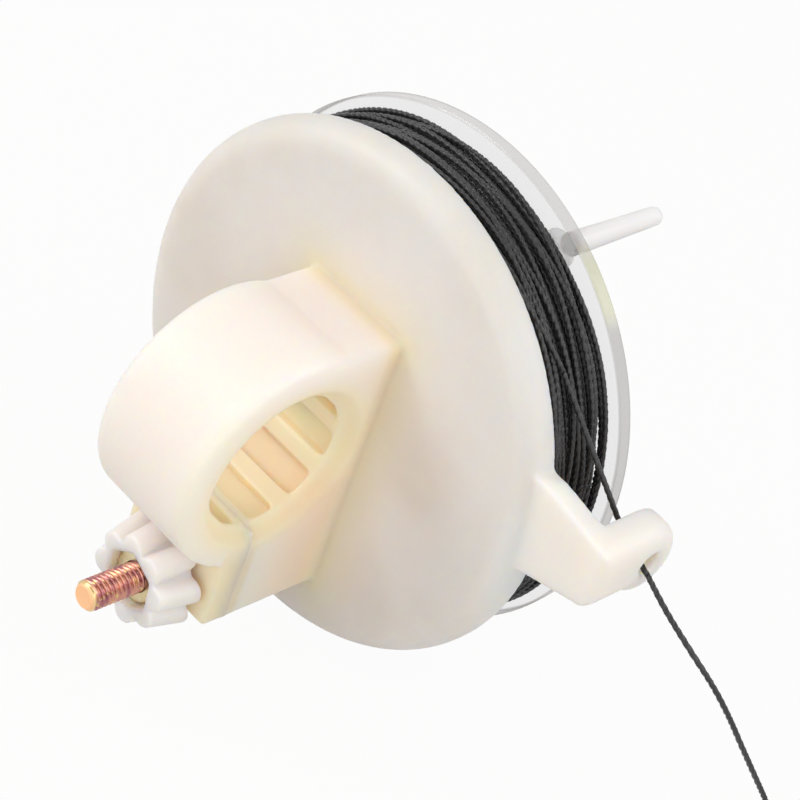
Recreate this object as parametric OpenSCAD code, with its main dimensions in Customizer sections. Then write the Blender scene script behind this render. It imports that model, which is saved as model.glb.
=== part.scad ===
// Clamp-on line reel for a round tube.
//
// A dished side plate is one moulding with a split tube clamp and a line guide. The spool
// turns on a bolt behind it, closed by a clear flange with a crank peg, and a knob, a disc
// spring and a fibre washer set its drag.
//
// Frame: the origin is where the spool axis meets the axis of the clamped tube. +X runs
// along the tube toward the line guide, +Y along the spool axis toward the crank peg, and
// +Z is up, with the clamp screw below the tube. Millimetres.

/* [Tube clamp] */
// Outside diameter of the tube that the clamp holds
tube_d = 28; // [24:0.5:30]
// Radial room between the tube and the grip ribs of the open clamp
tube_gap = 0.2; // [0.1:0.05:0.4]
// Length of the clamp along the tube
clamp_len = 24.2; // [22:0.1:32]
// Depth of the grip grooves
groove_depth = 2.2; // [1:0.1:3]
// Number of grip grooves
groove_count = 10; // [8:1:14]
// Share of the bore's round that the grooves take
groove_share = 0.6; // [0.4:0.05:0.7]
// Wall of the strap outside the grooves
strap_wall = 6.6; // [4.5:0.1:8]
// Width of the slit through the lugs
slit_w = 0.8; // [0.6:0.1:3]
// How far the slit lies in front of the tube's axis, on the clamp knob's side
slit_set = 2.1; // [0:0.1:3]

/* [Side plate] */
// Diameter of the side plate and of the clear flange
reel_d = 100; // [96:1:110]
// Thickness of the side plate at its shoulder
plate_t = 6.5; // [6:0.1:8]
// Radius of the plate's rounded rim
rim_round = 5; // [3:0.5:5.5]
// How far the middle of the plate stands out past its shoulder
plate_crown = 1; // [0:0.1:2]
// Depth of the dish that takes the spool's front flange
dish_depth = 3.4; // [3:0.1:4]
// Wall between the grooves and the plate's shoulder
saddle_wall = 4.3; // [4:0.1:6]

/* [Line guide] */
// How far the guide reaches past the plate's rim
guide_reach = 15.5; // [13:0.5:20]
// Thickness of the guide's arm
arm_t = 4.8; // [4:0.1:6]
// Thickness of the guide's eye wall
eye_t = 6.9; // [5:0.1:8]
// Diameter of the guide's eye
eye_d = 14.8; // [12:0.1:18]
// Diameter of the line hole
line_hole_d = 4.5; // [4.2:0.1:6]

/* [Spool] */
// Width between the spool's flanges
spool_w = 17.3; // [15:0.1:22]
// Diameter of the drum that the line is wound on
drum_d = 44; // [40:1:56]
// Thickness of the clear flange
flange_t = 3; // [2.5:0.1:4]
// How far the full winding stays inside the edge of the spool's front flange
wind_inset = 0.1; // [0.1:0.1:6]
// Diameter of the line
line_d = 1.2; // [1:0.1:1.8]

/* [Crank peg] */
// Length of the peg behind the clear flange
peg_len = 24.5; // [15:0.5:35]
// Diameter of the peg at its foot
peg_base_d = 4.4; // [4.2:0.1:6]
// Diameter of the peg at its tip
peg_tip_d = 3.6; // [3:0.1:4]
// Distance of the peg's axis from the flange's edge
peg_inset = 4; // [4:0.1:10]

/* [Screws and knobs] */
// Length of the clamp bolt under its head
clamp_bolt_len = 45; // [40:5:60]
// Length of the axle bolt under its head
axle_bolt_len = 42; // [40:1:50]
// Diameter of a knob over its lobes, at its wide end
knob_d = 21.6; // [20:0.2:23]
// Height of a knob
knob_h = 8.4; // [7.4:0.1:10]

/* [Hidden] */
$fn = 96;
eps = 0.01;

// M6 hardware
bolt_d = 6;
hex_af = 10;
head_h = 4;
nut_h = 5;
hole_d = 6.6;
thread_gap = 0.05;
hex_gap = 0.2;
moulded_gap = 0.05;
bolt_chamfer = 0.9;
washer_d = 12;
washer_t = 1;

// Tube clamp, in the plane across the tube
bore_r = tube_d / 2 + tube_gap;
groove_r = bore_r + groove_depth;
strap_r = groove_r + strap_wall;
strap_round = 1.5;
clamp_shift = 0.9;
clamp_x0 = clamp_shift - clamp_len / 2;
clamp_x1 = clamp_shift + clamp_len / 2;
mouth_flare = 3.1;
mouth_len = 2.8;
bore_edge = 0.8;
groove_blind = 3.6;
strap_rise = 0.8;
top_drop = 1.5;
top_z = strap_rise + strap_r - top_drop;
lug_half = 7.5;
lug_depth = 13;
lug_bottom = -(strap_r + lug_depth);
lug_round = 1.5;
screw_x = 1;
screw_inset = 5.7;
screw_z = lug_bottom + screw_inset;

// Side plate, along the spool axis
plate_y0 = groove_r + saddle_wall;
plate_y1 = plate_y0 + plate_t;
plate_r = reel_d / 2;
floor_y = plate_y1 - dish_depth;
dish_gap = 0.6;
rim_wall = 2.8;
dish_r = plate_r - rim_wall;
boss_r = 10;
boss_h = 0.6;
boss_y = floor_y + boss_h;
head_sink = 1.6;
clamp_seat_y = floor_y - head_h - head_sink;
head_cover = 1.2;
axle_seat_y = groove_r + head_cover + head_h;
spot_gap = 0.6;

// Line guide
guide_x1 = plate_r + guide_reach;
guide_x0 = guide_x1 - eye_t;
arm_y0 = plate_y1 - arm_t;
guide_z0 = 3.1;
arm_root_z0 = -0.9;
arm_root_z1 = 18.5;
arm_root_in = 8;
arm_root_rise = 0.6;
arm_edge = 2.5;
guide_round = 3.4;
eye_r = eye_d / 2;
eye_z = 9;
eye_back = 9.5;
eye_y = plate_y1 + eye_back;
guide_z1 = eye_z + eye_r;
hole_flare = 0.4;

// Spool, from front to back
run_gap = 0.05;
thrust_t = 1;
thrust_y1 = boss_y + thrust_t;
hub_y0 = thrust_y1 + run_gap;
hub_r = 10;
hub_fit = 0.1;
sleeve_r = 4;
sleeve_room = 0.2;
washer_inset = 0.5;
sleeve_bore = 3.1;
bearing_gap = 0.08;
spool_flange_r = dish_r - dish_gap;
dish_run = 1;
spool_flange_y0 = floor_y + dish_run;
spool_flange_t = 1.8;
spool_y0 = spool_flange_y0 + spool_flange_t;
spool_y1 = spool_y0 + spool_w;
flange_y1 = spool_y1 + flange_t;
flange_edge = 0.3;
drum_wall = 3;
hub_y1 = flange_y1;
sleeve_short = 0.5;
sleeve_y1 = hub_y1 - sleeve_short;
screw_count = 4;
screw_inside = 4.2;
screw_ring = drum_d / 2 - drum_wall - screw_inside;
screw_boss_r = 3.4;
screw_d = 3.6;
screw_head_d = 7;
screw_len = 12;
screw_fit = 0.05;
socket_af = 2.5;
socket_depth = 1.2;

// Peg
peg_r = plate_r - peg_inset;
peg_angle = 64.8;
peg_head_d = 7.4;
peg_head_h = 1.8;
peg_neck_d = 3.4;
peg_fit = 0.05;

// Drag stack behind the spool
drag_washer_t = 1.2;
drag_plate_t = 1.2;
drag_r = 9.5;
spring_t = 0.8;
spring_h = 2;
spring_w = 4.9;
spring_lip = 0.5;
drag_y0 = hub_y1 + run_gap;
drag_plate_y0 = drag_y0 + drag_washer_t;
spring_y0 = drag_plate_y0 + drag_plate_t;
drag_knob_y = spring_y0 + spring_h;

// Knobs
lobe_count = 8;
lobe_r = 2.5;
lobe_turn = 10.6;
knob_web = 1.4;
knob_taper = 1.7;
knob_body_taper = 1.3;
nut_turn = 35;
clamp_washer_y = -lug_half - run_gap;
clamp_knob_y = clamp_washer_y - washer_t;

// Wound line: one tube of 24 rings a loop over a plain core
wire_r = line_d / 2;
loop_gap = 0.45;
wind_margin = 0.4;
ring_steps = 24;
ring_sides = 6;
wound_r = spool_flange_r - wind_inset;
wind_r = wound_r - wire_r;
end_bend = 1.25;
core_r = wind_r - end_bend - line_d;
wind_y0 = spool_y0 + wind_margin + wire_r;
wind_span = spool_w - 2 * wind_margin - line_d;
loops = floor(wind_span / (line_d + loop_gap));
wind_start = 40;
bend_steps = 4;

// Line from the winding to the guide, then free to its knot
lead_gap = 0.4;
lead_in = 6.2;
lead_angle = 40;
lead_r = wound_r + lead_gap + wire_r;
lie_gap = 0.05;
rest_z = -plate_r + wire_r + lie_gap;
knot_r = 2.2;
knot_len = 5;
knot_z = -plate_r + knot_r;
hole_out = [guide_x1 + 0.5, eye_y - 0.5, eye_z - 1.6];
// The free line from the guide: how far it has gone along X and Y, and the share of its
// drop to the surface that the reel stands on. Then it lies there in a curve.
tail_shape = [[0, 0, 0], [6.2, -0.1, 0.053], [12.7, 0.4, 0.107], [18.9, 2.4, 0.183],
  [22.9, 5.4, 0.276], [26.5, 9.4, 0.397], [29.6, 13.6, 0.516], [32.5, 17.4, 0.626],
  [35.5, 21.1, 0.756], [38.3, 24.3, 0.875], [42.1, 27.5, 0.956], [47.3, 30.5, 0.995],
  [53.7, 33.3, 1], [60.7, 34.3, 1], [67.3, 32.7, 1], [72.5, 28.7, 1], [75.7, 23.1, 1],
  [77.1, 16.7, 0.998], [77.3, 10.7, 0.989]];
tail_route = concat([for (p = tail_shape)
    hole_out + [p[0], p[1], p[2] * (rest_z - hole_out[2])]],
  [[hole_out[0] + 77.3, hole_out[1] + 4.7, knot_z]]);
route_steps = 2;
// Straight from the winding to the guide's hole, then through it
lead_start = [lead_r * cos(lead_angle), plate_y1 + lead_in, lead_r * sin(lead_angle)];
hole_in = [guide_x0 - 1.4, eye_y + 0.5, eye_z + 1.4];
hole_mid = [guide_x0 + 3.2, eye_y - 0.1, eye_z - 0.4];
lead_route = concat([for (k = [0:4]) lead_start + (hole_in - lead_start) * k / 4],
  [hole_mid, hole_out]);

// Directions: a child's +Z axis is laid along +X, +Y or -Y, or a flat profile is
// extruded along X or Y in its true (Y, Z) or (X, Z) coordinates.
module along_x(p) { translate(p) rotate([0, 90, 0]) children(); }
module along_y(p) { translate(p) rotate([-90, 0, 0]) children(); }
module against_y(p) { translate(p) rotate([90, 0, 0]) children(); }
module extrude_x(x0, x1) {
  translate([x0, 0, 0]) rotate([90, 0, 90]) linear_extrude(x1 - x0) children();
}
module extrude_y(y0, y1) {
  translate([0, y1, 0]) rotate([90, 0, 0]) linear_extrude(y1 - y0) children();
}
module hexagon(af, h) { cylinder(d = af / cos(30), h = h, $fn = 6); }
module ring(r_out, r_in, h) {
  difference() {
    cylinder(r = r_out, h = h);
    translate([0, 0, -eps]) cylinder(r = r_in, h = h + 2 * eps);
  }
}
// A rectangle from corner a to corner b with rounded corners
module rounded(a, b, r) {
  translate([a[0] + r, a[1]]) square([b[0] - a[0] - 2 * r, b[1] - a[1]]);
  translate([a[0], a[1] + r]) square([b[0] - a[0], b[1] - a[1] - 2 * r]);
  for (x = [a[0] + r, b[0] - r], y = [a[1] + r, b[1] - r]) translate([x, y]) circle(r, $fn = 48);
}

// Hexagon bolt along +Z, its seat at z = 0 and its head below
module hex_bolt(len) {
  translate([0, 0, -head_h]) hexagon(hex_af, head_h);
  translate([0, 0, -eps]) cylinder(d = bolt_d, h = len - bolt_chamfer + eps);
  translate([0, 0, len - bolt_chamfer])
    cylinder(d1 = bolt_d, d2 = bolt_d - 2 * bolt_chamfer, h = bolt_chamfer);
}
// Hexagon nut along +Z with its corners turned off at both faces
module hex_nut() {
  corner = hex_af / cos(30) / 2;
  bevel = 0.5;
  difference() {
    intersection() {
      hexagon(hex_af, nut_h);
      union() {
        cylinder(r1 = corner - 2 * bevel, r2 = corner, h = bevel);
        translate([0, 0, bevel]) cylinder(r = corner, h = nut_h - 2 * bevel);
        translate([0, 0, nut_h - bevel]) cylinder(r1 = corner, r2 = corner - 2 * bevel, h = bevel);
      }
    }
    translate([0, 0, -eps]) cylinder(d = bolt_d + 2 * thread_gap, h = nut_h + 2 * eps);
  }
}
// Tapered knob with lobes along +Z, its bearing face at z = 0, its nut pocket open at the top
module lobed_knob() {
  wide = knob_d / 2;
  lean = atan(knob_taper / knob_h);
  difference() {
    union() {
      cylinder(r1 = wide - lobe_r, r2 = wide - lobe_r - knob_body_taper, h = knob_h);
      intersection() {
        cylinder(r = wide + 1, h = knob_h);
        for (k = [0:lobe_count - 1])
          rotate(lobe_turn + k * 360 / lobe_count) translate([wide - lobe_r, 0, 0])
            rotate([0, -lean, 0]) translate([0, 0, -2]) cylinder(r = lobe_r, h = knob_h + 4);
      }
    }
    translate([0, 0, -eps]) cylinder(d = hole_d, h = knob_h);
    translate([0, 0, knob_web]) rotate(nut_turn) hexagon(hex_af + 2 * hex_gap, knob_h);
  }
}

// Round profile of the side plate: crowned front, rounded rim, open dish behind
module plate_disc() {
  shoulder = plate_r - rim_round;
  crown = function(r) plate_y0 - plate_crown * (1 - pow(r / shoulder, 2));
  steps = 6;
  rotate([-90, 0, 0]) rotate_extrude($fn = 180) {
    polygon([for (k = [0:steps]) [shoulder * k / steps, crown(shoulder * k / steps)],
      [shoulder, plate_y1], [0, plate_y1]]);
    intersection() {
      translate([shoulder, plate_y0 + rim_round]) circle(rim_round);
      translate([shoulder - eps, plate_y0]) square([rim_round + 1, rim_round]);
    }
    translate([shoulder - eps, plate_y0 + rim_round - eps])
      square([rim_round + eps, plate_t - rim_round + eps]);
  }
}
// Strap, saddle and lugs before their bore
module clamp_block() {
  along_x([clamp_x0, 0, strap_rise]) rotate_extrude() intersection() {
    translate([0, 0]) square([strap_r, clamp_len]);
    union() {
      square([strap_r - strap_round, clamp_len]);
      rounded([strap_r - 4 * strap_round, 0], [strap_r, clamp_len], strap_round);
    }
  }
  intersection() {
    extrude_x(clamp_x0, clamp_x1) {
      square([plate_y0 + 1, top_z]);
      translate([-lug_half + lug_round, lug_bottom])
        square([lug_half - lug_round + plate_y0 + 1, -lug_bottom]);
      translate([-lug_half, lug_bottom + lug_round]) square([lug_half, -lug_bottom - lug_round]);
      translate([-lug_half + lug_round, lug_bottom + lug_round]) circle(lug_round, $fn = 48);
    }
    extrude_y(-lug_half - 1, plate_y0 + 2)
      rounded([clamp_x0, lug_bottom], [clamp_x1, top_z], strap_round);
  }
}
// L-shaped guide: an arm in the plane of the plate, then a wall across the winding that
// ends in a round eye, all with a rounded outer face
module guide_arm() {
  wall_depth = eye_y - arm_y0;
  intersection() {
    union() {
      extrude_y(arm_y0, plate_y1) polygon([[plate_r - arm_root_in, arm_root_z0],
        [plate_r, arm_root_z0 + arm_root_rise], [guide_x1 - guide_round, guide_z0],
        [guide_x1, guide_z0], [guide_x1, guide_z1], [guide_x1 - guide_round, guide_z1],
        [plate_r, arm_root_z1], [plate_r - arm_root_in, arm_root_z1]]);
      extrude_y(arm_y0, eye_y) translate([guide_x0, guide_z0])
        square([eye_t, guide_z1 - guide_z0]);
    }
    extrude_y(arm_y0 - 1, eye_y + 1) {
      translate([plate_r - arm_root_in - 1, arm_root_z0 - 1])
        square([guide_reach + arm_root_in + 1 - guide_round, arm_root_z1 - arm_root_z0 + 2]);
      translate([guide_x1 - guide_round - eps, guide_z0 + guide_round])
        square([guide_round + eps, guide_z1 - guide_z0 - 2 * guide_round]);
      for (z = [guide_z0 + guide_round, guide_z1 - guide_round])
        translate([guide_x1 - guide_round, z]) circle(guide_round);
    }
    translate([0, 0, arm_root_z0 - 1]) linear_extrude(arm_root_z1 - arm_root_z0 + 2) {
      translate([plate_r - arm_root_in - 1, arm_y0])
        square([guide_reach + arm_root_in + 1 - arm_edge, wall_depth + 1]);
      translate([guide_x1 - arm_edge - eps, arm_y0 + arm_edge])
        square([arm_edge + eps, wall_depth + 1 - arm_edge]);
      translate([guide_x1 - arm_edge, arm_y0 + arm_edge]) circle(arm_edge, $fn = 48);
    }
  }
  along_x([guide_x0, eye_y, eye_z]) rotate_extrude() {
    square([eye_r - guide_round, eye_t]);
    square([eye_r, eye_t - guide_round]);
    intersection() {
      translate([eye_r - guide_round, eye_t - guide_round]) circle(guide_round);
      translate([eye_r - guide_round - eps, eye_t - guide_round - eps])
        square(guide_round + 1);
    }
  }
}
module grip_bore() {
  along_x([clamp_x0 - 1, 0, 0]) cylinder(r = bore_r, h = clamp_len + 2);
  along_x([clamp_x1 - mouth_len, 0, 0])
    cylinder(r1 = bore_r, r2 = bore_r + mouth_flare + eps, h = mouth_len + eps);
  along_x([clamp_x0 - eps, 0, 0]) cylinder(r1 = bore_r + bore_edge, r2 = bore_r, h = bore_edge);
  groove_arc = groove_share * 360 / groove_count;
  along_x([clamp_x0 - 1, 0, 0]) intersection() {
    cylinder(r = groove_r, h = clamp_len + 1 - groove_blind);
    for (k = [0:groove_count - 1]) rotate((k + 0.5) * 360 / groove_count - asin(slit_set / bore_r))
      linear_extrude(clamp_len + 1) polygon([[0, 0],
        [strap_r, -strap_r * tan(groove_arc / 2)], [strap_r, strap_r * tan(groove_arc / 2)]]);
  }
}

module side_plate() color([0.93, 0.9, 0.84]) difference() {
  union() {
    difference() {
      union() {
        plate_disc();
        clamp_block();
        guide_arm();
      }
      along_y([0, floor_y, 0]) cylinder(r = dish_r, h = dish_depth + 1, $fn = 180);
    }
    along_y([0, floor_y - eps, 0]) cylinder(r = boss_r, h = boss_h + eps);
  }
  grip_bore();
  translate([clamp_x0 - 1, -slit_set - slit_w / 2, lug_bottom - 1])
    cube([clamp_len + 2, slit_w, -lug_bottom + 1 - bore_r / 2]);
  along_y([screw_x, -lug_half - 1, screw_z]) cylinder(d = hole_d, h = plate_y1 + lug_half);
  along_y([screw_x, clamp_seat_y - head_h, screw_z])
    hexagon(hex_af + 2 * hex_gap, plate_y1 - clamp_seat_y + head_h);
  against_y([screw_x, -lug_half, screw_z]) cylinder(d = knob_d + 2 * spot_gap, h = strap_r);
  along_y([0, axle_seat_y - eps, 0]) cylinder(d = bolt_d + 2 * moulded_gap, h = plate_t);
  along_y([0, axle_seat_y - head_h - moulded_gap, 0])
    rotate(30) hexagon(hex_af + 2 * moulded_gap, head_h + moulded_gap);
  along_x([guide_x0 - 1, eye_y, eye_z]) cylinder(d = line_hole_d, h = eye_t + 2);
  along_x([guide_x1 - hole_flare, eye_y, eye_z])
    cylinder(d1 = line_hole_d, d2 = line_hole_d + 2 * hole_flare + 2 * eps, h = hole_flare + eps);
  along_x([guide_x0 - eps, eye_y, eye_z])
    cylinder(d1 = line_hole_d + 2 * hole_flare + 2 * eps, d2 = line_hole_d, h = hole_flare + eps);
}

module clamp_bolt() color([0.86, 0.76, 0.55])
  against_y([screw_x, clamp_seat_y, screw_z]) hex_bolt(clamp_bolt_len);
module clamp_washer() color([0.78, 0.78, 0.76])
  against_y([screw_x, clamp_washer_y, screw_z]) ring(washer_d / 2, hole_d / 2, washer_t);
module clamp_knob() color([0.93, 0.9, 0.84])
  against_y([screw_x, clamp_knob_y, screw_z]) lobed_knob();
module clamp_nut() color([0.8, 0.72, 0.42])
  against_y([screw_x, clamp_knob_y - knob_web, screw_z]) rotate(nut_turn) hex_nut();

module axle_bolt() color([0.78, 0.78, 0.76])
  along_y([0, axle_seat_y, 0]) rotate(30) hex_bolt(axle_bolt_len);
module axle_sleeve() color([0.7, 0.71, 0.72])
  along_y([0, boss_y, 0]) ring(sleeve_r, sleeve_bore, sleeve_y1 - boss_y);
module thrust_washer() color([0.95, 0.95, 0.93])
  along_y([0, boss_y, 0]) ring(hub_r - washer_inset, sleeve_r + sleeve_room, thrust_t);

// Hub, front flange and drum in one moulding, with four screw bosses between hub and drum
module spool_drum() color([0.92, 0.91, 0.87]) difference() {
  union() {
    along_y([0, hub_y0, 0]) cylinder(r = hub_r, h = hub_y1 - hub_y0);
    along_y([0, spool_flange_y0, 0]) ring(spool_flange_r, hub_r, spool_flange_t);
    along_y([0, spool_flange_y0, 0])
      ring(drum_d / 2, drum_d / 2 - drum_wall, spool_y1 - spool_flange_y0);
    for (k = [0:screw_count - 1]) rotate([0, 45 + k * 360 / screw_count, 0])
      along_y([screw_ring, spool_y0 - 1, 0]) cylinder(r = screw_boss_r, h = spool_w + 1);
  }
  along_y([0, spool_flange_y0 - 1, 0]) cylinder(r = sleeve_r + bearing_gap, h = hub_y1);
  for (k = [0:screw_count - 1]) rotate([0, 45 + k * 360 / screw_count, 0])
    against_y([screw_ring, flange_y1, 0]) cylinder(d = screw_d + 2 * screw_fit, h = screw_len + 1);
}
module countersunk(head_d, shank_d, len) {
  head_len = (head_d - shank_d) / 2;
  cylinder(d1 = head_d, d2 = shank_d, h = head_len);
  cylinder(d = shank_d, h = len);
}
module clear_flange() color([0.9, 0.91, 0.93, 0.35]) difference() {
  along_y([0, spool_y1, 0]) {
    cylinder(r1 = plate_r - flange_edge, r2 = plate_r, h = flange_edge, $fn = 180);
    translate([0, 0, flange_edge - eps])
      cylinder(r = plate_r, h = flange_t - 2 * flange_edge + 2 * eps, $fn = 180);
    translate([0, 0, flange_t - flange_edge])
      cylinder(r1 = plate_r, r2 = plate_r - flange_edge, h = flange_edge, $fn = 180);
  }
  along_y([0, spool_y1 - 1, 0]) cylinder(r = hub_r + hub_fit, h = flange_t + 2);
  for (k = [0:screw_count - 1]) rotate([0, 45 + k * 360 / screw_count, 0])
    against_y([screw_ring, flange_y1, 0]) {
      translate([0, 0, -eps])
        countersunk(screw_head_d + 2 * screw_fit, screw_d + 2 * screw_fit, flange_t + 1);
    }
  rotate([0, -peg_angle, 0]) {
    along_y([peg_r, spool_y1 - eps, 0])
      cylinder(d1 = peg_head_d + 2 * peg_fit, d2 = peg_neck_d + 2 * peg_fit, h = peg_head_h + eps);
    along_y([peg_r, spool_y1, 0]) cylinder(d = peg_neck_d + 2 * peg_fit, h = flange_t + 1);
  }
}
module flange_screws() color([0.78, 0.78, 0.76])
  for (k = [0:screw_count - 1]) rotate([0, 45 + k * 360 / screw_count, 0])
    against_y([screw_ring, flange_y1, 0]) difference() {
      countersunk(screw_head_d, screw_d, screw_len);
      translate([0, 0, -eps]) hexagon(socket_af, socket_depth);
    }
module crank_peg() color([0.95, 0.95, 0.94]) rotate([0, -peg_angle, 0]) {
  along_y([peg_r, spool_y1, 0]) cylinder(d1 = peg_head_d, d2 = peg_neck_d, h = peg_head_h);
  along_y([peg_r, spool_y1, 0]) cylinder(d = peg_neck_d, h = flange_t + eps);
  along_y([peg_r, flange_y1, 0]) cylinder(d1 = peg_base_d, d2 = peg_tip_d, h = peg_len - peg_tip_d / 2);
  translate([peg_r, flange_y1 + peg_len - peg_tip_d / 2, 0]) sphere(d = peg_tip_d, $fn = 48);
}

module drag_washer() color([0.35, 0.25, 0.2])
  along_y([0, drag_y0, 0]) ring(drag_r, hole_d / 2, drag_washer_t);
module drag_plate() color([0.7, 0.71, 0.72])
  along_y([0, drag_plate_y0, 0]) ring(drag_r, hole_d / 2, drag_plate_t);
module drag_spring() color([0.6, 0.61, 0.62])
  along_y([0, spring_y0, 0]) rotate_extrude() translate([hole_d / 2, 0]) polygon([
    [0, spring_h - spring_t], [spring_w - spring_lip, 0], [spring_w, 0],
    [spring_w, spring_t * 0.6], [spring_lip, spring_h], [0, spring_h]]);
module drag_knob() color([0.93, 0.9, 0.84])
  along_y([0, drag_knob_y, 0]) lobed_knob();
module drag_nut() color([0.78, 0.78, 0.76])
  along_y([0, drag_knob_y + knob_web, 0]) rotate(nut_turn) hex_nut();

// A tube over rings of points, closed at both ends, in triangles
module tube(rings) {
  n = len(rings[0]);
  last = len(rings) - 1;
  polyhedron(points = [for (r = rings, p = r) p], faces = [
    for (k = [1:n - 2]) [0, k, k + 1],
    for (i = [0:last - 1], k = [0:n - 1]) let (a = i * n + k, b = i * n + (k + 1) % n)
      each [[a, b + n, b], [a, a + n, b + n]],
    for (k = [1:n - 2]) [last * n, last * n + k + 1, last * n + k]]);
}
function out_dir(a) = [cos(a), 0, sin(a)];
function turn_dir(a) = [-sin(a), 0, cos(a)];
function wire_ring(c, n, sides) =
  [for (k = [0:sides - 1]) c + wire_r * (cos(k * 360 / sides) * n + sin(k * 360 / sides) * [0, 1, 0])];

// Centre line and normals of the winding: it rises square out of the core, bends over,
// winds from the front flange to the back one and dives square into the core again
wind_pitch = wind_span / loops;
bend_lead = atan(end_bend / wind_r);
wind_stop = wind_start + 360 * loops;
function wind_y(a) = wind_y0 + wind_pitch * (a - wind_start) / 360;
wind_path = let (y = [0, wind_y0, 0], o = out_dir(wind_start), t = turn_dir(wind_start),
    c = (core_r + line_d) * o + end_bend * t) concat(
  [[y + core_r * o, -t]],
  [for (i = [0:bend_steps - 1]) let (f = 90 * i / bend_steps, n = sin(f) * o - cos(f) * t)
    [y + c + end_bend * n, n]],
  [for (i = [0:loops * ring_steps]) let (a = wind_start + bend_lead
      + i * (360 * loops - 2 * bend_lead) / (loops * ring_steps))
    [wind_r * out_dir(a) + [0, wind_y(a), 0], out_dir(a)]]);
wind_end = let (y = [0, wind_y0 + wind_span, 0], o = out_dir(wind_stop), t = turn_dir(wind_stop),
    c = (core_r + line_d) * o - end_bend * t) concat(
  [for (i = [bend_steps - 1:-1:0]) let (f = 90 * i / bend_steps, n = sin(f) * o + cos(f) * t)
    [y + c + end_bend * n, n]],
  [[y + core_r * o, t]]);
wind_points = concat(wind_path, wind_end);
// Least gap of the winding to itself, between rings at least a quarter of a loop apart
wind_gap = min([for (i = [0:len(wind_points) - 8], j = [i + 7:len(wind_points) - 1])
  norm(wind_points[i][0] - wind_points[j][0])]) - line_d;
echo(loops = loops, wind_pitch = wind_pitch, wind_gap = wind_gap);

// Smooth route through hand-placed points, with rings square to it
function smooth(p, i, t) = let (a = p[max(i - 1, 0)], b = p[i], c = p[i + 1],
    d = p[min(i + 2, len(p) - 1)])
  0.5 * (2 * b + (c - a) * t + (2 * a - 5 * b + 4 * c - d) * t * t
    + (3 * b - a - 3 * c + d) * t * t * t);
function route(p, steps) = concat([for (i = [0:len(p) - 2], s = [0:steps - 1]) smooth(p, i, s / steps)],
  [p[len(p) - 1]]);
function unit(v) = v / norm(v);
function route_rings(q) = [for (i = [0:len(q) - 1])
  let (t = unit(q[min(i + 1, len(q) - 1)] - q[max(i - 1, 0)]), side = unit(cross([0, 0, 1], t)),
    up = cross(t, side))
  [for (k = [0:7]) q[i] + wire_r * (cos(k * 45) * side + sin(k * 45) * up)]];
line_rings = route_rings(concat(route(lead_route, 2), [for (i = [1:(len(tail_route) - 1) * route_steps])
  route(tail_route, route_steps)[i]]));
lead_rings = (len(lead_route) - 1) * 2;

module line_core() color([0.13, 0.13, 0.14])
  along_y([0, spool_y0, 0]) ring(core_r, drum_d / 2, spool_w);
module line_winding() color([0.16, 0.16, 0.17])
  tube([for (w = wind_points) wire_ring(w[0], w[1], ring_sides)]);
module line_lead() color([0.16, 0.16, 0.17])
  tube([for (i = [0:lead_rings]) line_rings[i]]);
module line_tail() color([0.16, 0.16, 0.17])
  tube([for (i = [lead_rings:len(line_rings) - 1]) line_rings[i]]);
module line_knot() color([0.16, 0.16, 0.17]) {
  knot_edge = 1.2;
  translate(tail_route[len(tail_route) - 1]) rotate([90, 0, 0]) rotate_extrude($fn = 32) {
    square([knot_r - knot_edge, knot_len]);
    intersection() {
      rounded([-knot_r, 0], [knot_r, knot_len], knot_edge);
      square([knot_r, knot_len]);
    }
  }
}

side_plate();
clamp_bolt();
clamp_washer();
clamp_knob();
clamp_nut();
axle_bolt();
axle_sleeve();
thrust_washer();
spool_drum();
clear_flange();
flange_screws();
crank_peg();
drag_washer();
drag_plate();
drag_spring();
drag_knob();
drag_nut();
line_core();
line_winding();
line_lead();
line_tail();
line_knot();
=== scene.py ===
"""Looks of the clamp-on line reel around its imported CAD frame.

Lengths are in millimetres until a mesh or a cord is made from them. The camera, the lamps and
the coordinates in materials are in metres.
"""
import math

import bmesh
import bpy
import numpy as np
from mathutils import Matrix, Vector


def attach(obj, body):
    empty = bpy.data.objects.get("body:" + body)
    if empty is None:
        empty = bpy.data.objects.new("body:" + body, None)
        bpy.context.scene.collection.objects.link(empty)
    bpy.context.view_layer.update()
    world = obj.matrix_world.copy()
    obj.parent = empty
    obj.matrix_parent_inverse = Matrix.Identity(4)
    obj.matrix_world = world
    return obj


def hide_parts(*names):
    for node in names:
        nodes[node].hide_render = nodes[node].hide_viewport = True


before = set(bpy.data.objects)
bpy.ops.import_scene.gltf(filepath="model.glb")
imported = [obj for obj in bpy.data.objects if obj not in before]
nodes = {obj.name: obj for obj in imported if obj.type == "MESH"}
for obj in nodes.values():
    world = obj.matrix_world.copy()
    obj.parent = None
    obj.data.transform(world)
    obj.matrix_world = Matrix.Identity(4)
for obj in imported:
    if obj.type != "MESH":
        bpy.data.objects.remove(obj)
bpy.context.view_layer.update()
MM = 0.001
tau = 2 * math.pi


def new_object(name, data):
    """An object in the scene that holds this data."""
    obj = bpy.data.objects.new(name, data)
    bpy.context.scene.collection.objects.link(obj)
    return obj


# Camera at the photograph's angle
CAM_AT = (0.21616, -0.28113, 0.28412)
CAM_FORWARD = (-0.4417, 0.6660, -0.6012)
CAM_UP = (-0.6152, 0.2629, 0.7432)

cam = new_object("Camera", bpy.data.cameras.new("Camera"))
forward = Vector(CAM_FORWARD).normalized()
right = forward.cross(Vector(CAM_UP)).normalized()
up = right.cross(forward)
cam.matrix_world = Matrix.Translation(CAM_AT) @ Matrix(
    (right, up, -forward)).transposed().to_4x4()
cam.data.sensor_width = 36
cam.data.lens = 117
cam.data.clip_start, cam.data.clip_end = 0.01, 20
bpy.context.scene.camera = cam


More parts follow.
